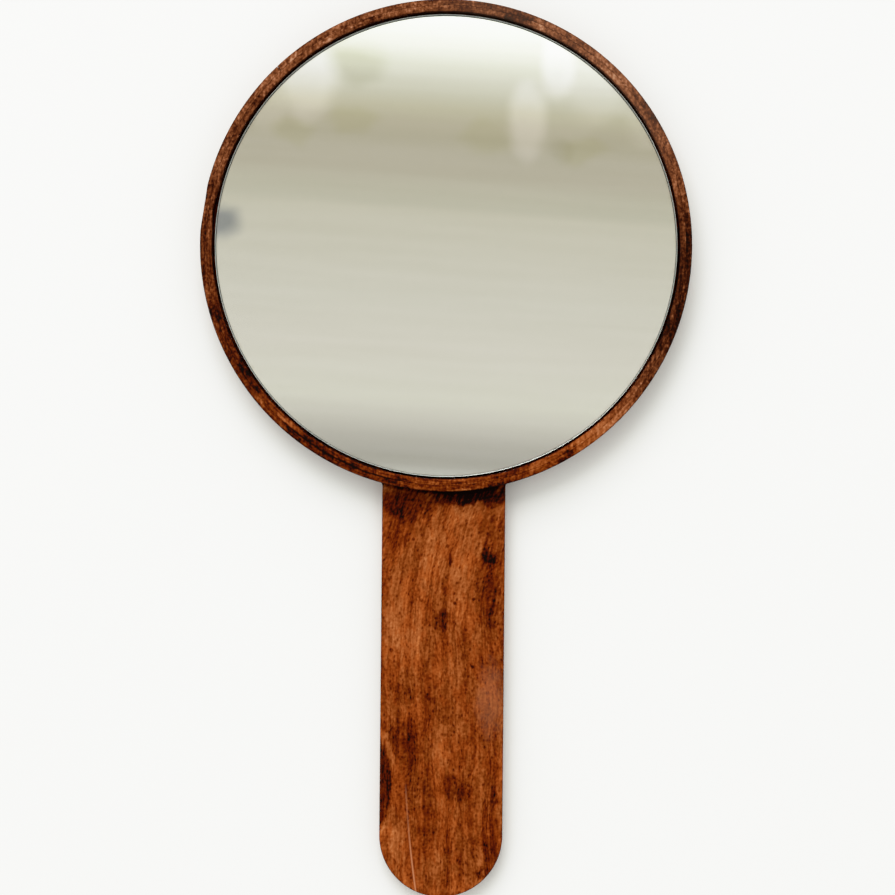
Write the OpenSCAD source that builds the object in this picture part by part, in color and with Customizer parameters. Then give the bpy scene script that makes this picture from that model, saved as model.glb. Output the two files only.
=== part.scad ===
// Wooden hand mirror: a round glass in a bent wooden rim, on a flat plywood
// paddle whose handle points towards -Y. It lies on its back, glass upwards.
// The origin is on the back face, under the middle of the glass.

/* [Mirror glass] */
// Diameter of the round glass
glass_d = 131; // [90:1:200]
// Thickness of the glass
glass_t = 2; // [2:0.5:6]
// Width of the ground bevel on both edges of the glass
glass_bevel = 0.3; // [0.1:0.1:0.8]
// Gap all round between the glass and the rim
glass_gap = 0.6; // [0.2:0.1:1.5]

/* [Layers behind the glass] */
// Thickness of the silver layer
silver_t = 0.1; // [0.05:0.05:0.3]
// Thickness of the paint that seals the silver
paint_t = 0.1; // [0.05:0.05:0.3]
// Thickness of the foam tape
tape_t = 1; // [0.5:0.1:3]
// Width of the foam tape
tape_w = 19; // [9:1:25]
// Number of rows of foam tape
tape_rows = 3; // [1:1:3]
// Least distance from the foam tape to the edge of the glass
tape_margin = 6; // [2:1:8]

/* [Plywood paddle] */
// Thickness of each of the five veneers
veneer_t = 1.2; // [0.6:0.1:3]
// Width of the handle
handle_w = 35; // [20:1:50]
// Distance from the middle of the glass to the tip of the handle
handle_reach = 185; // [140:1:260]
// Radius of the inside corners where the handle meets the head
neck_fillet_r = 0.9; // [0.3:0.1:6]
// Size of the sanded break along the outer edges of the paddle
edge_break = 0.4; // [0.1:0.1:0.5]

/* [Bent rim] */
// Thickness of each of the two bent strips
strip_t = 1.75; // [1:0.05:4]
// Height of the rim above the face of the glass
rim_lip = 1.5; // [0.5:0.1:5]
// Radius of the rounded upper edges of the rim
rim_round = 0.5; // [0.2:0.1:0.9]
// Gap between the two ends of each strip
joint_gap = 0.2; // [0.1:0.05:0.5]

/* [Strip joints] */
// Direction of the joint in the outer strip, anticlockwise from +X
outer_joint_angle = 133.9; // [100:0.1:160]
// Depth of the V notch that the outer joint leaves in the edge
notch_depth = 0.7; // [0.3:0.1:1]
// Width of that notch at the edge
notch_w = 0.7; // [0.3:0.1:1.5]
// Direction of the joint in the inner strip, anticlockwise from +X
inner_joint_angle = 171.8; // [165:0.1:250]
// Depth of the shallow V where the ends of the inner strip turn outwards
relief_depth = 0.55; // [0.4:0.05:0.9]
// Angle on each side of the inner joint over which its ends turn outwards
relief_half_angle = 5.5; // [3:0.5:7]
// Depth of the flat sanded on the outside of the head, over the inner joint
flat_depth = 0.4; // [0.1:0.1:0.8]

/* [Hidden] */
$fn = 96;

VENEERS = 5;

// Radii, outwards from the middle of the head
glass_r = glass_d / 2;
rim_inner_r = glass_r + glass_gap;
rim_mid_r = rim_inner_r + strip_t;
head_r = rim_mid_r + strip_t;

// Heights, upwards from the back face
board_t = VENEERS * veneer_t;
paint_z = board_t + tape_t;
silver_z = paint_z + paint_t;
glass_z = silver_z + silver_t;
glass_top_z = glass_z + glass_t;
rim_h = glass_top_z + rim_lip - board_t;

// The rows of tape share out the width that they may cover
tape_reach = glass_r - tape_margin;
tape_pitch = 2 * tape_reach / tape_rows;

// The handle is a bar with a half-round end
handle_r = handle_w / 2;
handle_end_y = -(handle_reach - handle_r);

// Centre of the fillet between the side of the handle and the edge of the head
neck_x = handle_r + neck_fillet_r;
neck_y = -sqrt(pow(head_r + neck_fillet_r, 2) - pow(neck_x, 2));
corner_y = -sqrt(pow(head_r, 2) - pow(handle_r, 2));
neck_turn = head_r / (head_r + neck_fillet_r);

// How far the cutting shapes pass the surfaces that they cut
pass = 1;

WOOD = "#8c4b22";
WOOD_DARK = "#6b3518";
WOOD_EDGE = "#a5672f";

// --- The plywood paddle ---

// Section of a flat plate from its middle to a straight edge at x = r.
// top and bottom are the sizes of the breaks on the two corners of that edge.
module plate_section(r, t, top, bottom) {
    polygon([
        [0, 0], [r - bottom, 0], [r, bottom],
        [r, t - top], [r - top, t], [0, t],
    ]);
}

// A round plate, or the part of it that angle covers
module round_plate(r, t, top, bottom, angle = 360) {
    rotate_extrude(angle = angle)
        plate_section(r, t, top, bottom);
}

// The bar of the handle, from the middle of the head to the half-round end
module handle_bar(t, top, bottom) {
    rotate([90, 0, 0])
        linear_extrude(height = -handle_end_y)
            union() {
                plate_section(handle_r, t, top, bottom);
                mirror([1, 0]) plate_section(handle_r, t, top, bottom);
            }
}

// Fills the inside corner on the +X side of the handle to a round
module neck_fillet(t, top, bottom) {
    translate([0, 0, bottom])
        linear_extrude(height = t - top - bottom)
            difference() {
                polygon([
                    [handle_r - pass, corner_y + pass],
                    [handle_r - pass, neck_y],
                    [handle_r, neck_y],
                    [neck_x, neck_y],
                    [neck_x * neck_turn, neck_y * neck_turn],
                ]);
                translate([neck_x, neck_y]) circle(r = neck_fillet_r);
            }
}

// One side of the head is sanded flat over the joint of the inner strip
module sanded_flat_cutter(h) {
    rotate([0, 0, inner_joint_angle])
        translate([head_r - flat_depth, -head_r / 2, -pass])
            cube([flat_depth + pass, head_r, h + 2 * pass]);
}

// A veneer is the whole outline of the paddle. number counts from the back.
module veneer(number, top = 0, bottom = 0) {
    translate([0, 0, number * veneer_t])
        difference() {
            union() {
                round_plate(head_r, veneer_t, top, bottom);
                handle_bar(veneer_t, top, bottom);
                translate([0, handle_end_y, 0])
                    rotate([0, 0, 180])
                        round_plate(handle_r, veneer_t, top, bottom, angle = 180);
                neck_fillet(veneer_t, top, bottom);
                mirror([1, 0, 0]) neck_fillet(veneer_t, top, bottom);
            }
            sanded_flat_cutter(veneer_t);
        }
}

module back_veneer() {
    color(WOOD) veneer(0, bottom = edge_break);
}

module back_crossband() {
    color(WOOD_DARK) veneer(1);
}

module core_veneer() {
    color(WOOD_EDGE) veneer(2);
}

module front_crossband() {
    color(WOOD_DARK) veneer(3);
}

module face_veneer() {
    color(WOOD) veneer(4, top = edge_break);
}

// --- The rim, two strips bent round one inside the other ---

// Section of a strip that stands on the paddle from radius inner to radius outer.
// Its upper corner is rounded on the side that faces outwards or inwards.
module strip_section(inner, outer, outwards) {
    translate([inner, 0])
        square([outer - inner, rim_h - rim_round]);
    translate([outwards ? inner : inner + rim_round, 0])
        square([outer - inner - rim_round, rim_h]);
    translate([outwards ? outer - rim_round : inner + rim_round, rim_h - rim_round])
        circle(r = rim_round);
}

// Slot between the two ends of a strip, across its whole thickness
module joint_slot(inner, outer) {
    translate([inner - pass, -joint_gap / 2, -pass])
        cube([outer - inner + 2 * pass, joint_gap, rim_h + 2 * pass]);
}

// The ends of the outer strip are eased, so that they leave a V notch
module notch_cutter() {
    translate([0, 0, -pass])
        linear_extrude(height = rim_h + 2 * pass)
            polygon([
                [head_r - notch_depth, 0],
                [head_r, -notch_w / 2],
                [head_r + pass, -notch_w / 2],
                [head_r + pass, notch_w / 2],
                [head_r, notch_w / 2],
            ]);
}

// The ends of the inner strip turn outwards, so that they leave a wide V.
// Its two flanks go on past the wall, so that they cross it cleanly.
module relief_cutter() {
    past_wall = 1.4;
    relief_x = rim_inner_r + relief_depth;
    flank_x = rim_inner_r * cos(relief_half_angle) - relief_x;
    flank_y = rim_inner_r * sin(relief_half_angle);
    translate([0, 0, -pass])
        linear_extrude(height = rim_h + 2 * pass)
            polygon([
                [relief_x, 0],
                [relief_x + flank_x * past_wall, flank_y * past_wall],
                [relief_x + flank_x * past_wall, -flank_y * past_wall],
            ]);
}

module rim_outer_strip() {
    color(WOOD)
        translate([0, 0, board_t])
            difference() {
                rotate_extrude() strip_section(rim_mid_r, head_r, outwards = true);
                rotate([0, 0, outer_joint_angle]) {
                    joint_slot(rim_mid_r, head_r);
                    notch_cutter();
                }
                sanded_flat_cutter(rim_h);
            }
}

module rim_inner_strip() {
    color(WOOD_DARK)
        translate([0, 0, board_t])
            difference() {
                rotate_extrude() strip_section(rim_inner_r, rim_mid_r, outwards = false);
                rotate([0, 0, inner_joint_angle]) {
                    joint_slot(rim_inner_r, rim_mid_r);
                    relief_cutter();
                }
            }
}

// --- The glass and what holds it ---

// Half the length of a row of tape whose middle is at y
function tape_half_length(y) =
    sqrt(pow(tape_reach, 2) - pow(abs(y) + tape_w / 2, 2));

module foam_tape_strips() {
    color("white")
        for (row = [0 : tape_rows - 1]) {
            y = (row - (tape_rows - 1) / 2) * tape_pitch;
            half = tape_half_length(y);
            translate([-half, y - tape_w / 2, board_t])
                cube([2 * half, tape_w, tape_t]);
        }
}

module backing_paint() {
    color("dimgray")
        translate([0, 0, paint_z])
            cylinder(h = paint_t, r = glass_r - glass_bevel);
}

module silver_coat() {
    color("silver")
        translate([0, 0, silver_z])
            cylinder(h = silver_t, r = glass_r - glass_bevel);
}

module mirror_glass() {
    color("lightcyan", 0.5)
        translate([0, 0, glass_z])
            round_plate(glass_r, glass_t, glass_bevel, glass_bevel);
}

back_veneer();
back_crossband();
core_veneer();
front_crossband();
face_veneer();
rim_outer_strip();
rim_inner_strip();
foam_tape_strips();
backing_paint();
silver_coat();
mirror_glass();
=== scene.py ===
# %% [markdown]
# # A wooden hand mirror
# A hand mirror is a round glass in a thin wooden rim, on a flat paddle whose
# handle is cut from the same board. This file builds the looks of one, piece by
# piece, round a frame of plain solids that already has the right sizes. Every
# length is in metres. The mirror lies on its back: +Z comes out of the glass
# and the handle points towards -Y.

# %% Load the frame
import math

import bmesh
import bpy
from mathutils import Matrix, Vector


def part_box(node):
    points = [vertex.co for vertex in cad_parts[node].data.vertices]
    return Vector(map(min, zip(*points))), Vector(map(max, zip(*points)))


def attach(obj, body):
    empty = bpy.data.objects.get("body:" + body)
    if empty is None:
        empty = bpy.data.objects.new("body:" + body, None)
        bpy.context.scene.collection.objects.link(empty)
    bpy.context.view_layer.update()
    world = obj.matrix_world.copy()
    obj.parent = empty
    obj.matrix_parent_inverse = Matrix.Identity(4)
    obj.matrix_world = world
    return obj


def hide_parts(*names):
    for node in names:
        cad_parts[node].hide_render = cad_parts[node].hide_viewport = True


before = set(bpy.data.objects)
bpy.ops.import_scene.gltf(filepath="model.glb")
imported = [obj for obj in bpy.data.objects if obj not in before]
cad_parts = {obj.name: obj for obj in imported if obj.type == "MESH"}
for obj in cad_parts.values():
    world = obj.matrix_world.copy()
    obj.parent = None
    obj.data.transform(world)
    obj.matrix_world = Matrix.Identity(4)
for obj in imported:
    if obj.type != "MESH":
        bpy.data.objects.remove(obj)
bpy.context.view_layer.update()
print("the frame holds", sorted(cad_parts))

# %% [markdown]
# ## Sizes
# The solids of the frame say where everything is, so most sizes are read from
# their boxes. Only what a box can't tell, such as the width of the handle, is
# written down here. A designer would keep these few numbers on a drawing.

# %% Sizes read from the frame
MM = 0.001
glass_low, glass_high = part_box("mirror_glass")
GLASS_R = glass_high.x
HEAD_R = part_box("rim_outer_strip")[1].x
MID_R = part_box("rim_inner_strip")[1].x
BOARD_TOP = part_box("face_veneer")[1].z
RIM_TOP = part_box("rim_outer_strip")[1].z
TIP_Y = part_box("core_veneer")[0].y
SILVER_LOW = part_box("silver_coat")[0].z

# %% Sizes written down
HANDLE_R = 17.5 * MM
STRIP_T = HEAD_R - MID_R
RIM_INNER_R = MID_R - STRIP_T
END_Y = TIP_Y + HANDLE_R
NECK_Y = -math.sqrt(HEAD_R**2 - HANDLE_R**2)
NECK_ROUND = 0.9 * MM
EDGE_ROUND = 0.4 * MM
RIM_ROUND = 0.5 * MM
GLASS_BEVEL = 0.2 * MM
OUTER_JOINT = math.radians(133.9)
INNER_JOINT = math.radians(171.8)
JOINT_GAP = 0.2 * MM
FLAT_DEPTH = 0.4 * MM
print("head radius", round(HEAD_R / MM, 2), "mm, tip at", round(TIP_Y / MM, 1), "mm")

# %% [markdown]
# ## The camera
# The mirror is seen from straight above with a long lens, a little below the
# middle of the head, so that the whole handle fits. A long lens keeps the round
# head round. The camera is turned by half a degree, as a hand-held one is.

# %% Camera above the mirror
CAMERA_AT = (0.92 * MM, -57.18 * MM, 0.8)
CAMERA_ROLL = math.radians(0.52)
LENS = 112.35

camera_data = bpy.data.cameras.new("camera")
camera_data.lens = LENS
camera_data.sensor_width = 36
camera = bpy.data.objects.new("camera", camera_data)
camera.location = CAMERA_AT
camera.rotation_euler = (0, 0, CAMERA_ROLL)
bpy.context.scene.collection.objects.link(camera)
bpy.context.scene.camera = camera
print("the camera is", CAMERA_AT[2], "m above the back of the mirror, with a lens of", LENS, "mm")

# %% A film that lets bright areas fade softly
FILM_CURVE = [(0.55, 0.55), (0.70, 0.695), (0.85, 0.81), (1.00, 0.885), (1.20, 0.945), (1.50, 0.98)]
FILM_WHITE = FILM_CURVE[-1][0]

view = bpy.context.scene.view_settings
view.view_transform = "Standard"
view.use_curve_mapping = True
view.curve_mapping.white_level = (FILM_WHITE,) * 3
film = view.curve_mapping.curves[3]
film.points[1].location = (1.0, FILM_CURVE[-1][1])
for light, shown in FILM_CURVE[:-1]:
    film.points.new(light / FILM_WHITE, shown)
for point in film.points[:2]:
    point.handle_type = "VECTOR"
view.curve_mapping.update()
print("the film curve has", len(film.points), "points")

# %% [markdown]
# ## Building node trees
# A material or a room is a small net of nodes. This helper adds a node, feeds
# its sockets with values or with other sockets, and hands back what the next
# step needs. It keeps the recipes further down short enough to read.


# %% A helper for node trees
class Recipe:
    """Builds a node tree step by step. A step takes sockets or plain values."""

    def __init__(self, tree):
        self.tree = tree
        self.tree.nodes.clear()

    def feed(self, socket, value):
        if isinstance(value, bpy.types.NodeSocket):
            self.tree.links.new(value, socket)
        else:
            socket.default_value = value

    def add(self, kind, settings=None, **sockets):
        made = self.tree.nodes.new("ShaderNode" + kind)
        for name, value in (settings or {}).items():
            setattr(made, name, value)
        for name, value in sockets.items():
            self.feed(made.inputs[name.replace("_", " ")], value)
        return made

    def calc(self, operation, *values, clamp=False):
        made = self.add("Math", {"operation": operation, "use_clamp": clamp})
        for socket, value in zip(made.inputs, values):
            self.feed(socket, value)
        return made.outputs[0]

    def vector_calc(self, operation, *values):
        made = self.add("VectorMath", {"operation": operation})
        for socket, value in zip(made.inputs, values):
            self.feed(socket, value)
        return made.outputs["Value" if operation == "LENGTH" else "Vector"]

    def ease(self, value, low, high, start=0.0, end=1.0):
        """Goes smoothly from start to end while value goes from low to high."""
        made = self.add("MapRange", {"interpolation_type": "SMOOTHSTEP"})
        for socket, number in zip(made.inputs, (value, low, high, start, end)):
            self.feed(socket, number)
        return made.outputs[0]

    def vector(self, x, y, z=0.0):
        return self.add("CombineXYZ", X=x, Y=y, Z=z).outputs[0]

    def split(self, vector):
        return self.add("SeparateXYZ", Vector=vector).outputs

    def noise(self, where, detail=2.0, roughness=0.5, distortion=0.0):
        made = self.add(
            "TexNoise", Vector=where, Scale=1.0, Detail=detail,
            Roughness=roughness, Distortion=distortion,
        )
        return made.outputs["Fac"]

    def ramp(self, value, stops):
        """A colour for each value; stops are (place, (r, g, b)) from low to high."""
        made = self.add("ValToRGB", Fac=value)
        elements = made.color_ramp.elements
        while len(elements) < len(stops):
            elements.new(1.0)
        for element, (place, colour) in zip(elements, stops):
            element.position = place
            element.color = (*colour, 1.0)
        return made.outputs[0]

    def stretch(self, place, x, y, z, start=(0.0, 0.0, 0.0)):
        """The place counted in steps of 1/x, 1/y and 1/z, for a stretched pattern."""
        return self.add("Mapping", Vector=place, Scale=(x, y, z), Location=start).outputs[0]

    def cells(self, where, output="Distance"):
        """Scattered cells: how far the nearest seed is, or that cell's own colour."""
        return self.add("TexVoronoi", Vector=where, Scale=1.0).outputs[output]

    def spots(self, value, place, ovals):
        """Adds soft ovals to a value. Each one is (x, y, half width, half height, change)."""
        for x, y, half_width, half_height, change in ovals:
            centred = self.add(
                "Mapping", {"vector_type": "TEXTURE"}, Vector=place,
                Location=(x, y, 0.0), Scale=(half_width, half_height, 1.0),
            )
            reach = self.vector_calc("LENGTH", centred.outputs[0])
            value = self.calc("ADD", value, self.ease(reach, 0.45, 1.15, change, 0.0))
        return value

    def mix(self, share, first, second, blend="MIX"):
        made = self.add("Mix", {"data_type": "RGBA", "blend_type": blend})
        for index, value in ((0, share), (6, first), (7, second)):
            if isinstance(value, tuple):
                value = (*value, 1.0)
            self.feed(made.inputs[index], value)
        return made.outputs[2]


# %% [markdown]
# ## The room
# A mirror shows what is above it, so the room matters as much as the wood. This
# one is a plain studio with a window high up beyond the head. Straight above
# the glass it shows pale bands, brighter panes, and soft olive and blue-grey
# patches between them. The colours depend only on the direction in which a ray
# leaves, so the mirror shows a true reflection from every side.

# %% What the mirror sees, from the near side of the room to the far side
WINDOW_VIEW = [
    (0.000, (0.56, 0.55, 0.50)),
    (0.020, (0.45, 0.43, 0.38)),
    (0.035, (0.435, 0.415, 0.365)),
    (0.075, (0.50, 0.475, 0.42)),
    (0.120, (0.625, 0.60, 0.53)),
    (0.160, (0.70, 0.68, 0.595)),
    (0.270, (0.685, 0.655, 0.58)),
    (0.380, (0.655, 0.63, 0.55)),
    (0.535, (0.61, 0.58, 0.485)),
    (0.568, (0.59, 0.56, 0.46)),
    (0.586, (0.54, 0.515, 0.415)),
    (0.620, (0.535, 0.505, 0.405)),
    (0.655, (0.50, 0.46, 0.365)),
    (0.700, (0.50, 0.46, 0.365)),
    (0.730, (0.465, 0.425, 0.32)),
    (0.760, (0.505, 0.46, 0.35)),
    (0.795, (0.56, 0.525, 0.39)),
    (0.830, (0.65, 0.63, 0.515)),
    (0.860, (0.735, 0.72, 0.615)),
    (0.895, (0.90, 0.90, 0.775)),
    (0.930, (1.15, 1.16, 1.01)),
    (0.965, (1.32, 1.37, 1.20)),
    (1.000, (1.50, 1.55, 1.45)),
]
NEAR_TURN, FAR_TURN = -0.010, 0.155
ROOM_SLANT = 0.06

# %% Panes and patches, as turn to the side and forward, half width, half height and change
WINDOW_PANES = [
    (-0.0511, 0.131, 0.0125, 0.016, 0.26),
    (-0.0660, 0.120, 0.0080, 0.010, 0.10),
    (-0.034, 0.1375, 0.013, 0.010, -0.14),
    (0.0277, 0.118, 0.0080, 0.016, 0.25),
    (0.0385, 0.137, 0.007, 0.016, 0.24),
    (0.051, 0.129, 0.012, 0.014, 0.09),
    (0.070, 0.118, 0.008, 0.012, 0.06),
    (0.059, 0.114, 0.012, 0.008, -0.05),
    (0.040, 0.108, 0.005, 0.005, -0.07),
]
OLIVE_TINT = (0.92, 0.92, 0.80)
OLIVE_SHADES = [
    (-0.0565, 0.113, 0.009, 0.006, 0.6),
    (-0.0345, 0.1155, 0.011, 0.006, 0.7),
    (0.0125, 0.111, 0.011, 0.008, 0.6),
    (0.048, 0.1075, 0.010, 0.006, 0.7),
]
BLUE_TINT = (0.50, 0.53, 0.60)
BLUE_SHADE = [(-0.0840, 0.0795, 0.0105, 0.0075, 1.0)]
PANE_COOLNESS = 0.40
BLUR_FINENESS, BLUR_REACH = 40.0, 0.02
STREAKINESS, STREAK_FINENESS = 0.09, (12.0, 260.0, 1.0)

# %% The light of the walls, from the near right to the window at the far left
WINDOW_LEFT = 0.38
WALL_LIGHT = (0.74, 0.74, 0.71)
WINDOW_LIGHT = (1.22, 1.22, 1.17)
WALLS_FROM, WINDOW_FROM = -0.35, 0.60
CEILING_FROM, CEILING_FULL = 0.90, 0.985

# %% The room as a world background
world = bpy.data.worlds.new("studio")
bpy.context.scene.world = world
world.use_nodes = True
room = Recipe(world.node_tree)
across, forward, up = room.split(room.add("TexCoord").outputs["Generated"])
lifted = room.calc("MAXIMUM", up, 0.05)
side_turn = room.calc("DIVIDE", across, lifted)
far_turn = room.calc("DIVIDE", forward, lifted)
slanted = room.calc("MULTIPLY_ADD", side_turn, ROOM_SLANT, far_turn)
view_range = room.add("MapRange", Value=slanted)
for socket, number in zip(list(view_range.inputs)[1:5], (NEAR_TURN, FAR_TURN, 0.0, 1.0)):
    socket.default_value = number
overhead = room.ramp(view_range.outputs[0], WINDOW_VIEW)
blur = room.noise(room.stretch(room.vector(side_turn, far_turn), BLUR_FINENESS, BLUR_FINENESS, 1.0))
blur = room.calc("SUBTRACT", blur, 0.5)
turn_place = room.vector(side_turn, room.calc("MULTIPLY_ADD", blur, BLUR_REACH, far_turn))
panes = room.spots(1.0, turn_place, WINDOW_PANES)
streaks = room.noise(room.stretch(room.vector(side_turn, slanted), *STREAK_FINENESS))
panes = room.calc("MULTIPLY_ADD", room.calc("SUBTRACT", streaks, 0.5), STREAKINESS, panes)
bluer = room.calc("MULTIPLY_ADD", room.calc("SUBTRACT", panes, 1.0), PANE_COOLNESS, panes)
overhead = room.mix(1.0, overhead, room.vector(panes, panes, bluer), blend="MULTIPLY")
for shades, tint in ((OLIVE_SHADES, OLIVE_TINT), (BLUE_SHADE, BLUE_TINT)):
    overhead = room.mix(room.spots(0.0, turn_place, shades), overhead, tint, blend="MULTIPLY")
leftwards = room.calc("MULTIPLY", across, -WINDOW_LEFT)
to_window = room.calc("MULTIPLY_ADD", forward, 1.0 - WINDOW_LEFT, leftwards)
walls = room.mix(room.ease(to_window, WALLS_FROM, WINDOW_FROM), WALL_LIGHT, WINDOW_LIGHT)
near_zenith = room.ease(up, CEILING_FROM, CEILING_FULL)
sky = room.mix(near_zenith, walls, overhead)
background = room.add("Background", Color=sky, Strength=1.0)
room.feed(room.add("OutputWorld").inputs["Surface"], background.outputs[0])
print("the room has", len(WINDOW_VIEW), "shades and", len(WINDOW_PANES), "bright panes")

# %% [markdown]
# ## Light and floor
# One large soft box stands beyond the head and a little to the left, so every
# edge drops a soft shadow towards the lower right. The floor is a plain pale
# sheet that is much larger than the mirror.

# %% Soft box and floor
LIGHT_FROM = (-0.44, 1.43, 1.61)
LIGHT_SIDE = 1.5
LIGHT_POWER = 29.0
FLOOR_SIDE = 12.0
FLOOR_GAP = 0.02 * MM
FLOOR_COLOUR = (0.92, 0.93, 0.91)
FLOOR_DULLNESS, FLOOR_GLOSS = 0.9, 0.1

light_data = bpy.data.lights.new("soft_box", "AREA")
light_data.size = LIGHT_SIDE
light_data.energy = LIGHT_POWER
soft_box = bpy.data.objects.new("soft_box", light_data)
soft_box.location = LIGHT_FROM
soft_box.rotation_mode = "QUATERNION"
soft_box.rotation_quaternion = soft_box.location.to_track_quat("Z", "Y")
bpy.context.scene.collection.objects.link(soft_box)

bpy.ops.object.select_all(action="DESELECT")
bpy.ops.mesh.primitive_plane_add(size=FLOOR_SIDE, location=(0, 0, -FLOOR_GAP))
floor = bpy.context.object
floor.name = "floor"
floor_material = bpy.data.materials.new("floor")
floor_material.use_nodes = True
floor_recipe = Recipe(floor_material.node_tree)
matte = floor_recipe.add("BsdfPrincipled", Base_Color=(*FLOOR_COLOUR, 1), Roughness=FLOOR_DULLNESS)
matte.inputs["Specular IOR Level"].default_value = FLOOR_GLOSS
floor_out = floor_recipe.add("OutputMaterial")
floor_recipe.feed(floor_out.inputs["Surface"], matte.outputs[0])
floor.data.materials.append(floor_material)
print("the soft box is", LIGHT_SIDE, "m wide and gives", LIGHT_POWER, "W")

# %% [markdown]
# ## Working in edit mode
# Each piece starts as a primitive and is shaped in edit mode, as by hand. These
# helpers open a piece, pick its faces or edges by their place, and close it
# with its place kept in the mesh.


# %% Helpers for edit mode
def start(name):
    """Names the primitive that was just added and opens it with nothing picked."""
    piece = bpy.context.object
    piece.name = name
    piece.data.name = name
    bpy.ops.object.transform_apply(location=True, rotation=True, scale=True)
    bpy.ops.object.mode_set(mode="EDIT")
    bpy.ops.mesh.select_all(action="DESELECT")
    return piece


def pick(piece, kind, test):
    """Selects the verts, edges or faces for which test is true, and counts them."""
    bpy.ops.mesh.select_mode(type=kind)
    bpy.ops.mesh.select_all(action="DESELECT")
    mesh = bmesh.from_edit_mesh(piece.data)
    parts = {"VERT": mesh.verts, "EDGE": mesh.edges, "FACE": mesh.faces}[kind]
    found = [part for part in parts if test(part)]
    for part in found:
        part.select_set(True)
    bmesh.update_edit_mesh(piece.data)
    return len(found)


def close(piece, smooth_angle=30):
    """Merges doubles, leaves edit mode and smooths what is meant to be round."""
    bpy.ops.mesh.select_mode(type="VERT")
    bpy.ops.mesh.select_all(action="SELECT")
    bpy.ops.mesh.remove_doubles(threshold=1e-7)
    bpy.ops.mesh.normals_make_consistent(inside=False)
    bpy.ops.object.mode_set(mode="OBJECT")
    bpy.ops.object.shade_smooth_by_angle(angle=math.radians(smooth_angle))
    print(piece.name, "has", len(piece.data.polygons), "faces")
    return piece


def middle(part):
    """The middle of an edge or a face."""
    corners = [vert.co for vert in part.verts]
    return sum(corners[1:], corners[0].copy()) / len(corners)


# %% [markdown]
# ## The outline of the paddle
# The board of a hand mirror is sawn in one go: a round head, a straight handle
# and a half-round tip. Here a cylinder gives the head, half of another one is
# extruded into the handle, and a union joins them. The two inside corners get
# the small round that a file leaves, and one side of the head is sanded flat.

# %% One veneer of the outline
veneer_low, veneer_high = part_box("core_veneer")
VENEER_T = veneer_high.z - veneer_low.z
HEAD_FACETS = 360
TIP_FACETS = 128
NECK_FACETS = 6

bpy.ops.object.select_all(action="DESELECT")
bpy.ops.mesh.primitive_cylinder_add(
    vertices=TIP_FACETS, radius=HANDLE_R, depth=VENEER_T, location=(0, END_Y, VENEER_T / 2)
)
handle = start("handle_bar")
bpy.ops.mesh.select_all(action="SELECT")
bpy.ops.mesh.bisect(
    plane_co=(0, END_Y, 0), plane_no=(0, 1, 0), use_fill=True, clear_outer=True
)
pick(handle, "FACE", lambda face: face.normal.y > 0.99)
bpy.ops.mesh.extrude_region_move(TRANSFORM_OT_translate={"value": (0, NECK_Y * 0.5 - END_Y, 0)})
close(handle)

bpy.ops.object.select_all(action="DESELECT")
bpy.ops.mesh.primitive_cylinder_add(
    vertices=HEAD_FACETS, radius=HEAD_R, depth=VENEER_T, location=(0, 0, VENEER_T / 2)
)
veneer = start("veneer")
bpy.ops.mesh.select_all(action="SELECT")
flat_towards = (math.cos(INNER_JOINT), math.sin(INNER_JOINT), 0)
flat_at = tuple(c * (HEAD_R - FLAT_DEPTH) for c in flat_towards)
bpy.ops.mesh.bisect(plane_co=flat_at, plane_no=flat_towards, use_fill=True, clear_outer=True)
close(veneer)

union = veneer.modifiers.new("union", "BOOLEAN")
union.operation = "UNION"
union.object = handle
bpy.ops.object.modifier_apply(modifier=union.name)
bpy.data.objects.remove(handle)

bpy.ops.object.mode_set(mode="EDIT")
bpy.ops.mesh.select_all(action="SELECT")
bpy.ops.mesh.dissolve_limited(angle_limit=math.radians(0.2))


def at_neck(edge):
    spot = middle(edge)
    upright = abs(edge.verts[0].co.z - edge.verts[1].co.z) > VENEER_T / 2
    return upright and abs(abs(spot.x) - HANDLE_R) < 0.1 * MM and abs(spot.y - NECK_Y) < 1 * MM


corners = pick(veneer, "EDGE", at_neck)
bpy.ops.mesh.bevel(offset=NECK_ROUND, segments=NECK_FACETS, affect="EDGES")
close(veneer)
print("rounded", corners, "neck corners")

# %% [markdown]
# ## Five veneers
# Plywood is made of thin sheets glued with their grain crossed. The outline is
# copied once for each sheet. The inner sheets get a hair-thin groove along the
# glue lines, and the two outer ones get the rounder edge that sandpaper gives.


# %% Copy and ease the veneers
def on_rim(edge, z):
    """True for the outline's edges at height z."""
    return all(abs(vert.co.z - z) < 1e-6 for vert in edge.verts) and any(
        abs(face.normal.z) < 0.5 for face in edge.link_faces
    )


def ease_outline(piece, z, size, segments):
    """Bevels the outline at height z. A narrow flat band keeps the big face's shading flat."""
    bpy.context.view_layer.objects.active = piece
    bpy.ops.object.select_all(action="DESELECT")
    piece.select_set(True)
    bpy.ops.object.mode_set(mode="EDIT")
    pick(piece, "EDGE", lambda edge: on_rim(edge, z))
    bpy.ops.mesh.bevel(offset=size, segments=segments, affect="EDGES")
    pick(piece, "FACE", lambda face: abs(face.calc_center_median().z - z) < 1e-6)
    bpy.ops.mesh.inset(thickness=FLAT_BAND)
    close(piece)


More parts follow.
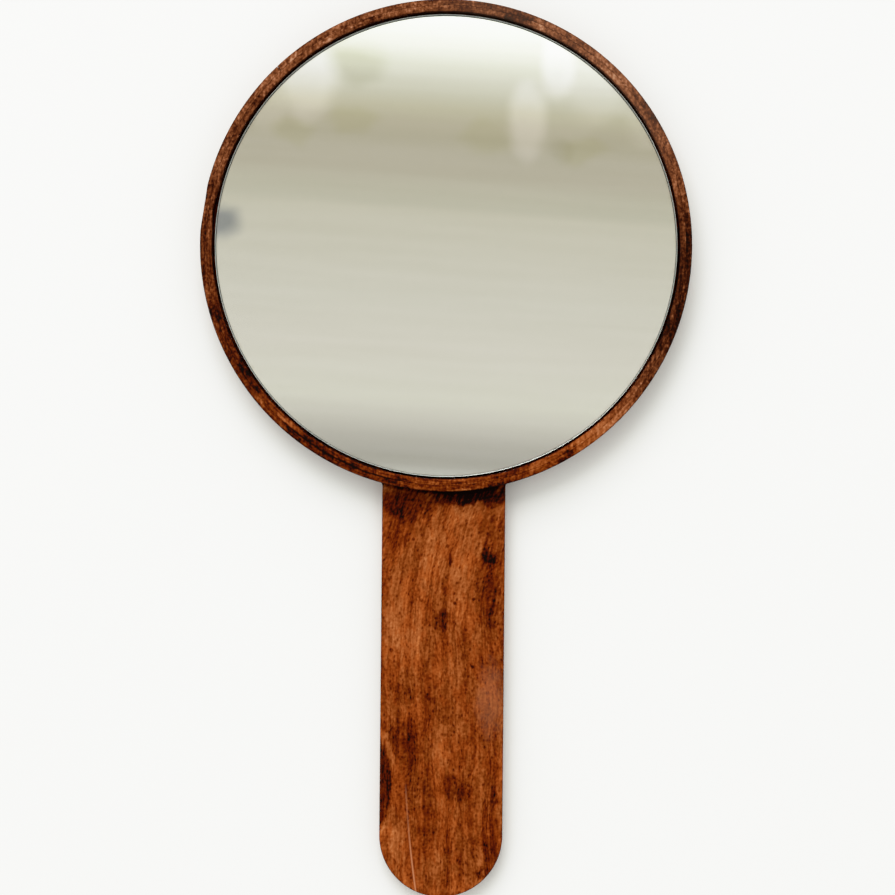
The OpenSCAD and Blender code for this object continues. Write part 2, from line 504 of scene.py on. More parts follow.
GLUE_GROOVE = 0.05 * MM
FLAT_BAND = 0.12 * MM
ROUND_FACETS = 4
veneers = {}
for node_name in ("back_veneer", "back_crossband", "core_veneer", "front_crossband", "face_veneer"):
    sheet = veneer.copy()
    sheet.data = veneer.data.copy()
    sheet.name = sheet.data.name = node_name + "_sheet"
    bpy.context.scene.collection.objects.link(sheet)
    low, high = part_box(node_name)
    bpy.ops.object.select_all(action="DESELECT")
    bpy.context.view_layer.objects.active = sheet
    sheet.select_set(True)
    bpy.ops.object.mode_set(mode="EDIT")
    bpy.ops.mesh.select_all(action="SELECT")
    bpy.ops.transform.translate(value=(0, 0, low.z))
    bpy.ops.object.mode_set(mode="OBJECT")
    for z, is_outside in ((high.z, node_name == "face_veneer"), (low.z, node_name == "back_veneer")):
        size, segments = (EDGE_ROUND, ROUND_FACETS) if is_outside else (GLUE_GROOVE, 1)
        ease_outline(sheet, z, size, segments)
    veneers[node_name] = sheet
bpy.data.objects.remove(veneer)

# %% [markdown]
# ## The bent rim
# The rim is two thin strips, steamed and bent one inside the other, so that no
# single butt joint goes right through. The section of a strip is drawn once and
# spun round the head, short of a full turn by the gap at its joint. A strip
# could also be a ring cut from a tube, but then it would have no ends to show.

# %% Draw the section of a strip
SEAM_EASE = 0.06 * MM
RIM_LOW, RIM_MIDDLE_Z = BOARD_TOP, (BOARD_TOP + RIM_TOP) / 2


def strip_section(name, inner, outer, rounded_r):
    """The upright section of a strip, with its upper corner at rounded_r well rounded."""
    centre = ((inner + outer) / 2, 0, RIM_MIDDLE_Z)
    bpy.ops.object.select_all(action="DESELECT")
    bpy.ops.mesh.primitive_plane_add(size=1, location=centre, rotation=(math.pi / 2, 0, 0))
    strip = start(name)
    bpy.ops.mesh.select_all(action="SELECT")
    bpy.ops.transform.resize(
        value=(outer - inner, 1, RIM_TOP - RIM_LOW), center_override=centre
    )
    for corner_r, size, facets in ((rounded_r, RIM_ROUND, 5), (MID_R, SEAM_EASE, 1)):
        pick(strip, "VERT", lambda v: v.co.z > RIM_MIDDLE_Z and abs(v.co.x - corner_r) < 1e-6)
        bpy.ops.mesh.bevel(offset=size, segments=facets, affect="VERTICES")
    return strip


# %% Bend a strip round the head
RIM_STEPS = 360
GAP_TURN = JOINT_GAP / MID_R


def bend(strip):
    """Spins the section clockwise from +X, short of a full turn by the gap."""
    bpy.ops.mesh.select_all(action="SELECT")
    bpy.ops.mesh.spin(
        steps=RIM_STEPS, angle=2 * math.pi - GAP_TURN, center=(0, 0, 0), axis=(0, 0, 1)
    )
    bpy.ops.mesh.select_all(action="SELECT")
    bpy.ops.mesh.remove_doubles(threshold=1e-7)
    bpy.ops.mesh.normals_make_consistent(inside=False)


def at_an_end(vert):
    """True for a corner on either end face of a strip that still starts at +X."""
    turn = math.atan2(vert.co.y, vert.co.x)
    return min(abs(turn), abs(turn - GAP_TURN)) < GAP_TURN / 4


def turn_joint_to(strip, joint):
    """Turns the gap from +X to its own direction. The turn runs the other way here."""
    bpy.ops.mesh.select_all(action="SELECT")
    bpy.ops.transform.rotate(
        value=GAP_TURN / 2 - joint, orient_axis="Z", center_override=(0, 0, 0)
    )


# %% The outer strip, with eased ends and a sanded flat
END_EASE = 0.4 * MM

rim_outer = strip_section("rim_outer_bent_strip", MID_R, HEAD_R, HEAD_R)
bend(rim_outer)


def outside_end_edge(edge):
    far_out = all(math.hypot(v.co.x, v.co.y) > HEAD_R - RIM_ROUND * 0.9 for v in edge.verts)
    low_is_on_board = all(v.co.z < RIM_LOW + 1e-6 for v in edge.verts)
    return far_out and not low_is_on_board and all(at_an_end(v) for v in edge.verts)


ends = pick(rim_outer, "EDGE", outside_end_edge)
bpy.ops.mesh.bevel(offset=END_EASE, segments=1, affect="EDGES", clamp_overlap=True)
turn_joint_to(rim_outer, OUTER_JOINT)
bpy.ops.mesh.select_all(action="SELECT")
bpy.ops.mesh.bisect(plane_co=flat_at, plane_no=flat_towards, use_fill=True, clear_outer=True)
close(rim_outer)
print("eased", ends, "edges at the ends of the outer strip")

# %% The inner strip, whose ends turn outwards a little
RELIEF_DEPTH = 0.55 * MM
RELIEF_HALF_ANGLE = math.radians(5.5)
RELIEF_REACH = RIM_INNER_R * RELIEF_HALF_ANGLE

rim_inner = strip_section("rim_inner_bent_strip", RIM_INNER_R, MID_R, RIM_INNER_R)
bend(rim_inner)
pick(rim_inner, "VERT", lambda v: math.hypot(v.co.x, v.co.y) > MID_R - 2 * SEAM_EASE)
bpy.ops.mesh.hide(unselected=False)
moved = pick(rim_inner, "VERT", lambda v: not v.hide and at_an_end(v))
bpy.ops.transform.translate(
    value=(RELIEF_DEPTH, 0, 0), use_proportional_edit=True,
    proportional_edit_falloff="LINEAR", proportional_size=RELIEF_REACH,
)
bpy.ops.mesh.reveal()
turn_joint_to(rim_inner, INNER_JOINT)
close(rim_inner)
print("turned", moved, "corners of the inner strip outwards")

# %% [markdown]
# ## The glass and the silver
# Mirror glass is a disc of clear float glass with silver on its back. The
# bright picture comes from the silver, two millimetres down, and the glass
# adds its faint own reflection and its ground edge. So both are made, not one
# shiny disc. The silver is a hair away from the glass, because two faces in
# exactly one place would flicker.

# %% The glass disc
GLASS_FACETS = 360


def disc(name, radius, low, high):
    """A flat disc between two heights, open in edit mode."""
    bpy.ops.object.select_all(action="DESELECT")
    bpy.ops.mesh.primitive_cylinder_add(
        vertices=GLASS_FACETS, radius=radius, depth=high - low, location=(0, 0, (low + high) / 2)
    )
    return start(name)


def at_brim(edge):
    return abs(edge.verts[0].co.z - edge.verts[1].co.z) < 1e-6 and edge.calc_face_angle() > 1


glass = disc("mirror_glass_disc", GLASS_R, glass_low.z, glass_high.z)
brims = pick(glass, "EDGE", at_brim)
bpy.ops.mesh.bevel(offset=GLASS_BEVEL, segments=1, affect="EDGES")
close(glass)
print("ground", brims, "edges of the glass")

# %% The silver behind it
GLUE_FILM = 0.02 * MM
SILVER_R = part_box("silver_coat")[1].x
BRIM_EASE = 0.03 * MM

silver = disc("silver_film", SILVER_R, SILVER_LOW + GLUE_FILM / 2, glass_low.z - GLUE_FILM)
pick(silver, "EDGE", at_brim)
bpy.ops.mesh.bevel(offset=BRIM_EASE, segments=1, affect="EDGES")
close(silver)

# %% [markdown]
# ## Stained wood
# The board is a pale close-grained wood under a brown stain, rubbed by hand.
# Stain settles in the pores and in soft spots, so the surface is a mottle of
# orange, brown and black. One tone between 0 and 1 is built from layers: fibres
# along the grain, longer streaks, clouds where the stain lay, and short dark
# pores. A colour ramp then turns the tone into stain colours. Painting the
# layers apart from the colours keeps every wooden surface in one family.

# %% Stain colours, from pooled black to a rubbed highlight
STAIN_COLOURS = [
    (0.00, (0.005, 0.0016, 0.0010)),
    (0.14, (0.046, 0.0034, 0.0002)),
    (0.26, (0.082, 0.0085, 0.0004)),
    (0.40, (0.133, 0.0210, 0.0008)),
    (0.50, (0.176, 0.0340, 0.0028)),
    (0.60, (0.228, 0.0500, 0.0070)),
    (0.74, (0.305, 0.0790, 0.0170)),
    (0.86, (0.362, 0.1040, 0.0265)),
    (1.00, (0.460, 0.1600, 0.0520)),
]
WOOD_GLOSS = 0.02
PORE_DEPTH = 0.05 * MM


# %% A new finish, and where a point is on the piece
def new_finish(name):
    """A material, its recipe, and the point on the piece in millimetres."""
    material = bpy.data.materials.new(name)
    material.use_nodes = True
    recipe = Recipe(material.node_tree)
    place = recipe.add("TexCoord").outputs["Object"]
    return material, recipe, recipe.vector_calc("MULTIPLY", place, (1 / MM,) * 3)


def from_middle(recipe, place):
    """How far the point is from the middle of the head, seen from above."""
    x, y, z = recipe.split(place)
    return recipe.vector_calc("LENGTH", recipe.vector(x, y))


def facing(recipe):
    """How far the surface faces along x, y and z, each from 0 to 1."""
    normal = recipe.add("TexCoord").outputs["Normal"]
    return recipe.split(recipe.vector_calc("ABSOLUTE", normal))


def set_surface(material, recipe, colour, roughness, height=None, depth=PORE_DEPTH, **constants):
    """Ends a recipe with a surface whose relief is height times depth."""
    surface = recipe.add("BsdfPrincipled", Base_Color=colour, Roughness=roughness)
    for name, value in constants.items():
        surface.inputs[name.replace("_", " ")].default_value = value
    if height is not None:
        relief = recipe.add("Bump", Strength=1.0, Distance=depth, Height=height)
        recipe.feed(surface.inputs["Normal"], relief.outputs[0])
    output = recipe.add("OutputMaterial")
    recipe.feed(output.inputs["Surface"], surface.outputs[0])
    print(material.name, "has", len(material.node_tree.nodes), "nodes")
    return surface


# %% The layers of a stained grain, each in repeats per millimetre across and along the fibres
FIBRE_CHANGE, LINE_CHANGE, GRIT_CHANGE = 0.80, 0.62, 0.55
STREAK_CHANGE, CLOUD_CHANGE, PORE_CHANGE = 0.50, 0.60, 0.27


def stained_tone(recipe, grain, base, mottling=1.0, shortness=1.0, openness=1.0):
    """The stain tone and the relief for wood whose fibres run along y of grain."""
    fibres = recipe.noise(recipe.stretch(grain, 1.3, 0.34 * shortness, 1.3), 2.5, 0.55)
    lines = recipe.noise(recipe.stretch(grain, 1.05, 0.014 * shortness, 1.05), 2.0)
    grit = recipe.noise(recipe.stretch(grain, 1.5, 1.2, 1.5), 1.0)
    streaks = recipe.noise(recipe.stretch(grain, 0.34, 0.018 * shortness, 0.34), 3.0)
    clouds = recipe.noise(recipe.stretch(grain, 0.13, 0.075, 0.13), 4.0, 0.6)
    pore_place = recipe.stretch(grain, 1.3, 0.75 * shortness, 1.3)
    pore_shape = recipe.ease(recipe.cells(pore_place), 0.50, 0.15)
    pore_strength = recipe.split(recipe.cells(pore_place, "Color"))[0]
    pores = recipe.calc("MULTIPLY", pore_shape, pore_strength)
    layers = (
        (fibres, FIBRE_CHANGE), (lines, LINE_CHANGE), (grit, GRIT_CHANGE),
        (streaks, STREAK_CHANGE), (clouds, CLOUD_CHANGE * mottling),
    )
    tone = base - sum(change for layer, change in layers) / 2
    for layer, change in layers:
        tone = recipe.calc("MULTIPLY_ADD", layer, change, tone)
    tone = recipe.calc("MULTIPLY_ADD", pores, -PORE_CHANGE * openness, tone)
    relief = recipe.calc("MULTIPLY_ADD", pores, -0.7, recipe.calc("MULTIPLY", fibres, 0.4))
    return tone, relief


RED_TINT = (1.0, 0.84, 0.60)


def redden(recipe, place, colour, seed=0.0):
    """Lets the stain turn redder in soft patches and in short streaks."""
    patches = recipe.noise(recipe.stretch(place, 0.22, 0.10, 0.22, (seed, 5.0, 0.0)), 3.0, 0.6)
    streaks = recipe.noise(recipe.stretch(place, 1.0, 0.25, 1.0, (seed, 9.0, 0.0)), 2.0)
    share = recipe.ease(recipe.calc("MULTIPLY_ADD", streaks, 0.6, patches), 0.70, 0.90)
    return recipe.mix(share, colour, RED_TINT, blend="MULTIPLY")


def finish_wood(material, recipe, colour, tone, relief):
    """A satin surface, duller where the stain has pooled."""
    roughness = recipe.ease(tone, 0.1, 0.8, 0.55, 0.38)
    set_surface(
        material, recipe, colour, roughness, relief, Specular_IOR_Level=WOOD_GLOSS
    )


# %% [markdown]
# ## Marks on the handle
# Stain rubbed on by hand pools where the cloth stopped: in a few spots, under
# the rim and along the edges. Under the rim and along the edges the darker tone
# is also painted shade. Each mark is a soft oval that raises or lowers the
# tone, and a noise pushes its outline about so that it doesn't look drawn. A
# painted sheen, which stands for the reflection of something bright, and the
# one long scratch lie over the stain, so they change the colour instead of the tone.

# %% Marks on the handle, as x, y, half width, half height in millimetres and change of tone
HANDLE_STAIN_AND_SHADOW_MARKS = [
    # The first two marks, just under the rim, are partly pooled stain and partly the rim's painted
    # shadow on the handle.
    (8.5, -70.5, 13.5, 4.0, -0.60),
    (-11.0, -73.5, 9.0, 5.5, -0.34),
    (-12.0, -80.0, 5.0, 7.0, -0.14),
    (13.9, -79.0, 3.6, 7.0, -0.18),
    (13.0, -88.0, 2.6, 3.4, -0.52),
    (12.6, -100.5, 4.0, 12.5, -0.18),
    (-0.6, -106.6, 2.3, 3.6, -0.26),
    (-11.2, -127.1, 4.0, 3.8, -0.20),
    (-10.6, -141.3, 5.2, 8.2, -0.19),
    (4.6, -154.2, 5.8, 4.4, -0.20),
    (13.5, -166.0, 4.0, 9.0, -0.12),
    (14.5, -174.3, 3.2, 6.2, -0.24),
    (11.4, -177.8, 1.2, 1.8, -0.40),
    (14.6, -157.0, 1.1, 4.6, -0.28),
    (1.5, -90.0, 9.5, 15.5, 0.10),
    (-11.5, -106.0, 7.0, 12.0, 0.12),
    (5.1, -76.0, 4.5, 3.0, 0.15),
    (-6.8, -114.0, 4.5, 7.0, 0.10),
    (7.5, -145.0, 4.5, 28.0, -0.07),
    (0.5, -141.8, 1.9, 8.2, 0.15),
    (0.5, -133.0, 4.0, 12.0, -0.09),
    (-13.4, -169.7, 3.2, 4.8, 0.14),
    (2.9, -182.4, 6.0, 2.0, 0.16),
]
HANDLE_DOTS = [
    (1.2, -85.2, 0.5, 0.7, -0.35),
    (2.0, -89.2, 0.5, 2.2, -0.40),
    (8.7, -100.2, 0.5, 0.6, -0.45),
    (3.3, -101.4, 0.5, 0.6, -0.40),
    (-6.1, -100.6, 0.7, 0.6, -0.30),
    (-14.5, -114.9, 0.6, 0.8, -0.40),
    (8.6, -119.5, 0.5, 0.6, -0.40),
    (-8.5, -83.3, 0.5, 0.6, -0.30),
    (16.1, -98.1, 0.6, 1.6, -0.40),
]
print(len(HANDLE_STAIN_AND_SHADOW_MARKS) + len(HANDLE_DOTS), "marks of stain on the handle")

# %% The painted sheen, the curved mark, the lean of the grain and the scratch
# A painted sheen: a milky lighter patch on the handle that stands for the reflection of something
# bright.
PAINTED_SHEEN_MARKS = [(13.8, -128.5, 4.6, 11.5, 0.30)]
PAINTED_SHEEN_COLOUR = (0.30, 0.115, 0.055)
CURVED_MARK_AT, CURVED_MARK_SIZE = (-18.0, -153.0, 0.0), (4.3, 12.8, 1.0)
CURVED_MARK_CHANGE, MARK_LINE_CHANGE = -0.36, 0.16
LEAN_FROM_Y, LEAN_TO_Y, LEAN = -112.0, -67.0, 0.0045
# The edges are darker partly from pooled stain and partly as painted shade where they turn down.
EDGE_STAIN_AND_SHADE = 0.32
CORNER_DIRT_AND_SHADE, CORNER_DIRT_AND_SHADE_CHANGE = 1.3 * MM, -0.40
SCRATCH_TOP = (-10.2, -152.0)
SCRATCH_COLOUR = (0.52, 0.21, 0.10)


# %% The grain of the board, with its lean near the head
END_GRAIN_CHANGE = -0.10


def board_grain(recipe, place, seed):
    """Grain coordinates of a veneer, wavy and leaning to the right near the head."""
    x, y, z = recipe.split(place)
    wave = recipe.noise(recipe.stretch(place, 0.10, 0.035, 0.10, start=(seed, seed, 0)))
    climb = recipe.calc("SUBTRACT", recipe.calc("MINIMUM", y, LEAN_TO_Y), LEAN_FROM_Y)
    climb = recipe.calc("MAXIMUM", climb, 0.0)
    leaned = recipe.calc("MULTIPLY_ADD", recipe.calc("MULTIPLY", climb, climb), -LEAN, x)
    across = recipe.calc("MULTIPLY_ADD", wave, 5.0, leaned)
    return recipe.vector(recipe.calc("ADD", across, seed), y, z)


def darken_edges(recipe, tone, dark):
    """Darkens where the surface turns down, as pooled stain and painted shade, and where it cuts
    across the fibres.
    """
    face_y, face_z = facing(recipe)[1:]
    tone = recipe.calc("ADD", tone, recipe.ease(face_z, 0.50, 0.97, -dark, 0.0))
    return recipe.calc("MULTIPLY_ADD", recipe.calc("MULTIPLY", face_y, face_y), END_GRAIN_CHANGE, tone)


def ragged(recipe, place, spread, fine=0.35):
    """The place pushed about by a noise, so that the edge of a mark is ragged."""
    noise = recipe.add("TexNoise", Vector=place, Scale=fine, Detail=4.0).outputs["Color"]
    push = recipe.vector_calc("SUBTRACT", noise, (0.5, 0.5, 0.5))
    pushed = recipe.vector_calc("MULTIPLY_ADD", push, (spread, 1.5 * spread, 0.0), place)
    return recipe.vector_calc("MULTIPLY", pushed, (1.0, 1.0, 0.0))


# %% The face of the paddle, with its marks and the curved mark at the edge
face_wood, recipe, place = new_finish("stained_face_wood")
tone, relief = stained_tone(recipe, board_grain(recipe, place, 0.0), base=0.565)
tone = recipe.spots(tone, ragged(recipe, place, 5.0), HANDLE_STAIN_AND_SHADOW_MARKS)
tone = recipe.spots(tone, recipe.vector_calc("MULTIPLY", place, (1.0, 1.0, 0.0)), HANDLE_DOTS)

curved_mark = recipe.add(
    "Mapping", {"vector_type": "TEXTURE"}, Vector=ragged(recipe, place, 1.2),
    Location=CURVED_MARK_AT, Scale=CURVED_MARK_SIZE,
).outputs[0]
mark_reach = recipe.vector_calc("LENGTH", curved_mark)
tone = recipe.calc("ADD", tone, recipe.ease(mark_reach, 0.80, 0.98, CURVED_MARK_CHANGE, 0.0))
mark_line = recipe.calc("ABSOLUTE", recipe.calc("SUBTRACT", mark_reach, 1.12))
tone = recipe.calc("ADD", tone, recipe.ease(mark_line, 0.04, 0.16, MARK_LINE_CHANGE, 0.0))
tone = darken_edges(recipe, tone, EDGE_STAIN_AND_SHADE)
# Darker in a narrow band right round the rim: dirt and stain in the corner, and painted shade where
# the rim stands over the board.
dirt_and_shade_from, dirt_and_shade_to = (HEAD_R + 0.2 * MM) / MM, (HEAD_R + CORNER_DIRT_AND_SHADE) / MM
under_rim_dirt_and_shade = recipe.ease(from_middle(recipe, place), dirt_and_shade_from, dirt_and_shade_to, CORNER_DIRT_AND_SHADE_CHANGE, 0.0)
tone = recipe.calc("ADD", tone, under_rim_dirt_and_shade)

# %% The painted sheen and the scratch over the stain
colour = redden(recipe, place, recipe.ramp(tone, STAIN_COLOURS))
painted_sheen = recipe.spots(0.0, ragged(recipe, place, 6.0), PAINTED_SHEEN_MARKS)
colour = recipe.mix(painted_sheen, colour, PAINTED_SHEEN_COLOUR)
x, y, z = recipe.split(place)
down = recipe.calc("SUBTRACT", SCRATCH_TOP[1], y)
bow = recipe.calc("MULTIPLY_ADD", down, 0.0015, 0.055)
scratch_x = recipe.calc("MULTIPLY_ADD", down, bow, SCRATCH_TOP[0])
off_line = recipe.calc("ABSOLUTE", recipe.calc("SUBTRACT", x, scratch_x))
scratch = recipe.ease(off_line, 0.10, 0.32, 1.0, 0.0)
scratch = recipe.calc("MULTIPLY", scratch, recipe.ease(down, 0.0, 4.0))
scratch = recipe.calc("MULTIPLY", scratch, recipe.ease(down, 10.0, 24.0, 0.25, 0.75))
colour = recipe.mix(scratch, colour, SCRATCH_COLOUR)
finish_wood(face_wood, recipe, colour, tone, relief)

# %% The back of the paddle
# The back's edges are darkened the same way: pooled stain and painted shade.
BACK_EDGE_STAIN_AND_SHADE = 0.18

back_wood, recipe, place = new_finish("stained_back_wood")
tone, relief = stained_tone(recipe, board_grain(recipe, place, 37.0), base=0.54)
tone = darken_edges(recipe, tone, BACK_EDGE_STAIN_AND_SHADE)
colour = redden(recipe, place, recipe.ramp(tone, STAIN_COLOURS), 37.0)
finish_wood(back_wood, recipe, colour, tone, relief)

# %% [markdown]
# ## The edge of the plywood
# The three inner sheets show only as thin bands along the edge. The fibres of
# the middle one run along the handle, those of its neighbours run across it.
# So each band changes from long fibres to cut ends on its way round. A solid
# pattern through the whole sheet does that by itself, which a flat picture
# wrapped round the edge would not.

# %% The inner sheets
GLUE_BAND, GLUE_CHANGE = 0.12, -0.20
PLY_END_CHANGE = -0.14


def ply_finish(name, crossed, seed, base):
    """An inner sheet. Its cut ends take more stain, and a dark glue line edges it."""
    material, recipe, place = new_finish(name)
    x, y, z = recipe.split(place)
    grain = recipe.vector(y, x, z) if crossed else place
    grain = recipe.vector_calc("ADD", grain, (seed, seed, 0.0))
    tone, relief = stained_tone(recipe, grain, base, mottling=0.7)
    face_x, face_y = facing(recipe)[:2]
    ends = face_x if crossed else face_y
    tone = recipe.calc("MULTIPLY_ADD", recipe.calc("MULTIPLY", ends, ends), PLY_END_CHANGE, tone)
    step = recipe.calc("DIVIDE", z, VENEER_T / MM)
    from_glue = recipe.calc("PINGPONG", step, 0.5)
    glue_line = recipe.ease(from_glue, 0.5 * GLUE_BAND, GLUE_BAND, GLUE_CHANGE, 0.0)
    tone = recipe.calc("ADD", tone, glue_line)
    finish_wood(material, recipe, recipe.ramp(tone, STAIN_COLOURS), tone, relief)
    return material


cross_wood = ply_finish("stained_crossband_wood", True, 11.0, base=0.42)
core_wood = ply_finish("stained_core_wood", False, 23.0, base=0.50)

# %% [markdown]
# ## The wood of the rim
# The strips were bent, so their fibres follow the ring. The place is therefore
# turned into a ring place: a point on a circle for the way along the fibres,
# and the radius with the height for the way across. A circle has no seam. Long
# streaks follow the ring there, most of all at the lower left, over the short
# pores that sanding opened. The rim is dustier and paler than the handle at the
# right, and as red as the handle at the bottom.

# %% Stain colours of the rim
RIM_COLOURS = [
    (0.00, (0.004, 0.0014, 0.0008)),
    (0.14, (0.015, 0.0022, 0.0004)),
    (0.28, (0.034, 0.0050, 0.0008)),
    (0.40, (0.070, 0.0150, 0.0032)),
    (0.50, (0.100, 0.0260, 0.0070)),
    (0.60, (0.146, 0.0420, 0.0130)),
    (0.74, (0.236, 0.0780, 0.0290)),
    (0.86, (0.320, 0.1260, 0.0600)),
    (1.00, (0.460, 0.2300, 0.1300)),
]

# %% Marks round the rim: direction and half width in degrees, place across it from -1 to 1, change
RIM_MARKS = [
    (-8.0, 0.0, 19.0, 3.0, -0.26),
    (352.0, 0.0, 19.0, 3.0, -0.26),
    (337.0, 0.0, 7.0, 3.0, -0.08),
    (24.0, 0.0, 17.0, 3.0, 0.06),
    (33.0, 0.7, 4.5, 0.9, -0.20),
    (48.0, 0.0, 6.0, 3.0, 0.20),
    (64.0, 0.0, 5.0, 3.0, 0.12),
    (73.0, 0.2, 4.5, 1.1, -0.24),
    (110.0, 0.0, 26.0, 3.0, 0.07),
    (136.0, 0.0, 7.0, 3.0, 0.12),
    (181.0, 0.0, 11.0, 3.0, -0.12),
    (204.0, 0.2, 14.0, 3.0, -0.18),
    (197.0, 0.3, 3.0, 0.8, -0.18),
    (213.0, -0.2, 5.0, 0.8, -0.18),
    (224.0, 0.0, 20.0, 3.0, -0.16),
    (247.0, 0.0, 17.0, 3.0, -0.20),
    (263.0, 0.0, 9.0, 3.0, -0.12),
    (277.0, 0.0, 14.0, 3.0, -0.10),
    (228.0, -0.6, 3.5, 0.6, 0.28),
    (240.0, 0.4, 12.0, 0.8, -0.14),
    (273.0, 0.9, 5.5, 0.35, 0.30),
    (291.0, 0.0, 14.0, 3.0, -0.07),
    (284.0, 0.9, 6.0, 0.7, -0.22),
    (293.0, -0.3, 3.0, 0.8, 0.12),
    (300.0, 0.3, 2.0, 0.9, -0.34),
    (310.0, 0.0, 12.0, 3.0, 0.18),
    (328.0, 0.3, 4.0, 1.0, -0.10),
]
print(len(RIM_MARKS), "marks of stain round the rim")

# %% How strong the layers of the rim are, and over which directions some of them show
RIM_MOTTLE = 0.48
STREAKS_AT_LEAST, STREAKS_MORE = 0.75, 0.40
RAGGED_DEGREES, RAGGED_ACROSS = 12.0, -2.5
RIM_EDGE_STAIN_AND_SHADE = -0.32
SEAM_CHANGE = -0.30
DUSTY_COLOUR, DUSTINESS = (0.22, 0.13, 0.085), 0.16
MORE_STREAKS = (140.0, 170.0, 268.0, 286.0)
SEAM_SHOWS = (218.0, 232.0, 256.0, 268.0)
REDDER = (150.0, 250.0, 300.0, 332.0)
DUSTIER = (12.0, 34.0, 80.0, 100.0)


def between(recipe, direction, stretch):
    """Rises to 1 over the first two directions of a stretch and falls over the last two."""
    rise = recipe.ease(direction, stretch[0], stretch[1])
    return recipe.calc("MULTIPLY", rise, recipe.ease(direction, stretch[3], stretch[2]))


# %% The finish of the strips
def rim_finish(name, seed, base):
    material, recipe, place = new_finish(name)
    x, y, z = recipe.split(place)
    radius = from_middle(recipe, place)
    ring_r = MID_R / MM
    along_x = recipe.calc("MULTIPLY", recipe.calc("DIVIDE", x, radius), ring_r)
    along_y = recipe.calc("MULTIPLY", recipe.calc("DIVIDE", y, radius), ring_r)
    outwards = recipe.calc("MULTIPLY_ADD", z, 1.3, radius)
    ring_place = recipe.vector(along_x, along_y, outwards)
    ring_streaks = recipe.noise(recipe.stretch(ring_place, 0.13, 0.13, 1.6, (seed, 0, 0)), 3.0, 0.6)
    upright = recipe.vector_calc("ADD", place, (seed, seed, 0.0))
    tone, relief = stained_tone(recipe, upright, base, mottling=0.8, shortness=3.0, openness=0.4)
    mottle = recipe.noise(recipe.stretch(place, 0.9, 0.9, 0.9, (seed, seed, seed)), 3.0, 0.6)
    tone = recipe.calc("MULTIPLY_ADD", recipe.calc("SUBTRACT", mottle, 0.5), RIM_MOTTLE, tone)
    degrees = recipe.calc("DEGREES", recipe.calc("ARCTAN2", y, x))
    direction = recipe.calc("FLOORED_MODULO", degrees, 360.0)
    following = between(recipe, direction, MORE_STREAKS)
    streak_share = recipe.calc("MULTIPLY_ADD", following, STREAKS_MORE, STREAKS_AT_LEAST)
    ring_change = recipe.calc("SUBTRACT", ring_streaks, 0.5)
    tone = recipe.calc("MULTIPLY_ADD", ring_change, streak_share, tone)
    offset = recipe.calc("DIVIDE", recipe.calc("SUBTRACT", radius, ring_r), STRIP_T / MM)
    shaken = recipe.noise(recipe.stretch(place, 0.4, 0.4, 0.4), 4.0)
    shaken = recipe.calc("SUBTRACT", shaken, 0.5)
    mark_place = recipe.vector(
        recipe.calc("MULTIPLY_ADD", shaken, RAGGED_DEGREES, direction),
        recipe.calc("MULTIPLY_ADD", shaken, RAGGED_ACROSS, offset),
    )
    tone = recipe.spots(tone, mark_place, RIM_MARKS)
    face_z = facing(recipe)[2]
    # Darker where the rounded edges of the strip turn down: partly stain pooled at the arris, partly
    # painted shade.
    tone = recipe.calc("ADD", tone, recipe.ease(face_z, 0.40, 0.97, RIM_EDGE_STAIN_AND_SHADE, 0.0))
    seam = recipe.ease(recipe.calc("ABSOLUTE", offset), 0.05, 0.16, SEAM_CHANGE, 0.0)
    seam = recipe.calc("MULTIPLY", seam, between(recipe, direction, SEAM_SHOWS))
    tone = recipe.calc("ADD", tone, seam)
    redder = between(recipe, direction, REDDER)
    colour = recipe.mix(redder, recipe.ramp(tone, RIM_COLOURS), recipe.ramp(tone, STAIN_COLOURS))
    dusty = recipe.calc("MULTIPLY", between(recipe, direction, DUSTIER), DUSTINESS)
    colour = recipe.mix(dusty, colour, DUSTY_COLOUR)
    finish_wood(material, recipe, colour, tone, relief)
    return material


outer_strip_wood = rim_finish("stained_outer_strip_wood", 0.0, base=0.52)
inner_strip_wood = rim_finish("stained_inner_strip_wood", 51.0, base=0.52)

# %% [markdown]
# ## Glass and silver
# Float glass is clear and a little green, and its ground edge is frosted. On a
# mirror that lies about there are always a few specks of dust and faint smears
# of a cloth, and they show because the rest is so clean. The silver is a plain
# bright metal with a trace of warm tarnish towards its edge.

# %% The finish of the glass
GLASS_TINT = (0.985, 0.995, 0.985)
GROUND_COLOUR = (0.50, 0.53, 0.49)
# The cut edge is nearly black: partly the glass's own dark edge, partly painted shade so that the gap
# round the glass looks dark.
CUT_EDGE_AND_GAP_SHADE_COLOUR = (0.05, 0.06, 0.05)
BEVEL_DULLNESS = 0.40
DUST_COLOUR = (0.85, 0.85, 0.82)
DUST_APART, DUST_SIZE, DUSTLESS_SHARE = 6.5, 0.030, 0.62
SMEAR_DULLNESS, FROST_DULLNESS = 0.015, 0.6

clear_glass, recipe, place = new_finish("float_glass")
z = recipe.split(place)[2]
face_z = facing(recipe)[2]
ground = recipe.ease(face_z, 0.95, 0.80)
cut_edge = recipe.ease(face_z, 0.50, 0.30)
dust_place = recipe.stretch(place, 1 / DUST_APART, 1 / DUST_APART, 0.0)
dust_luck = recipe.split(recipe.cells(dust_place, "Color"))
dust_size = recipe.calc("MULTIPLY", dust_luck[1], DUST_SIZE)
dust_near = recipe.calc("LESS_THAN", recipe.cells(dust_place), dust_size)
dust = recipe.calc("MULTIPLY", dust_near, recipe.calc("GREATER_THAN", dust_luck[0], DUSTLESS_SHARE))
on_top = recipe.calc("GREATER_THAN", z, (glass_high.z - GLASS_BEVEL) / MM)
dust = recipe.calc("MULTIPLY", dust, on_top)
dull = recipe.calc("MAXIMUM", recipe.calc("MULTIPLY", ground, BEVEL_DULLNESS), cut_edge)
dull = recipe.calc("MAXIMUM", dull, dust)
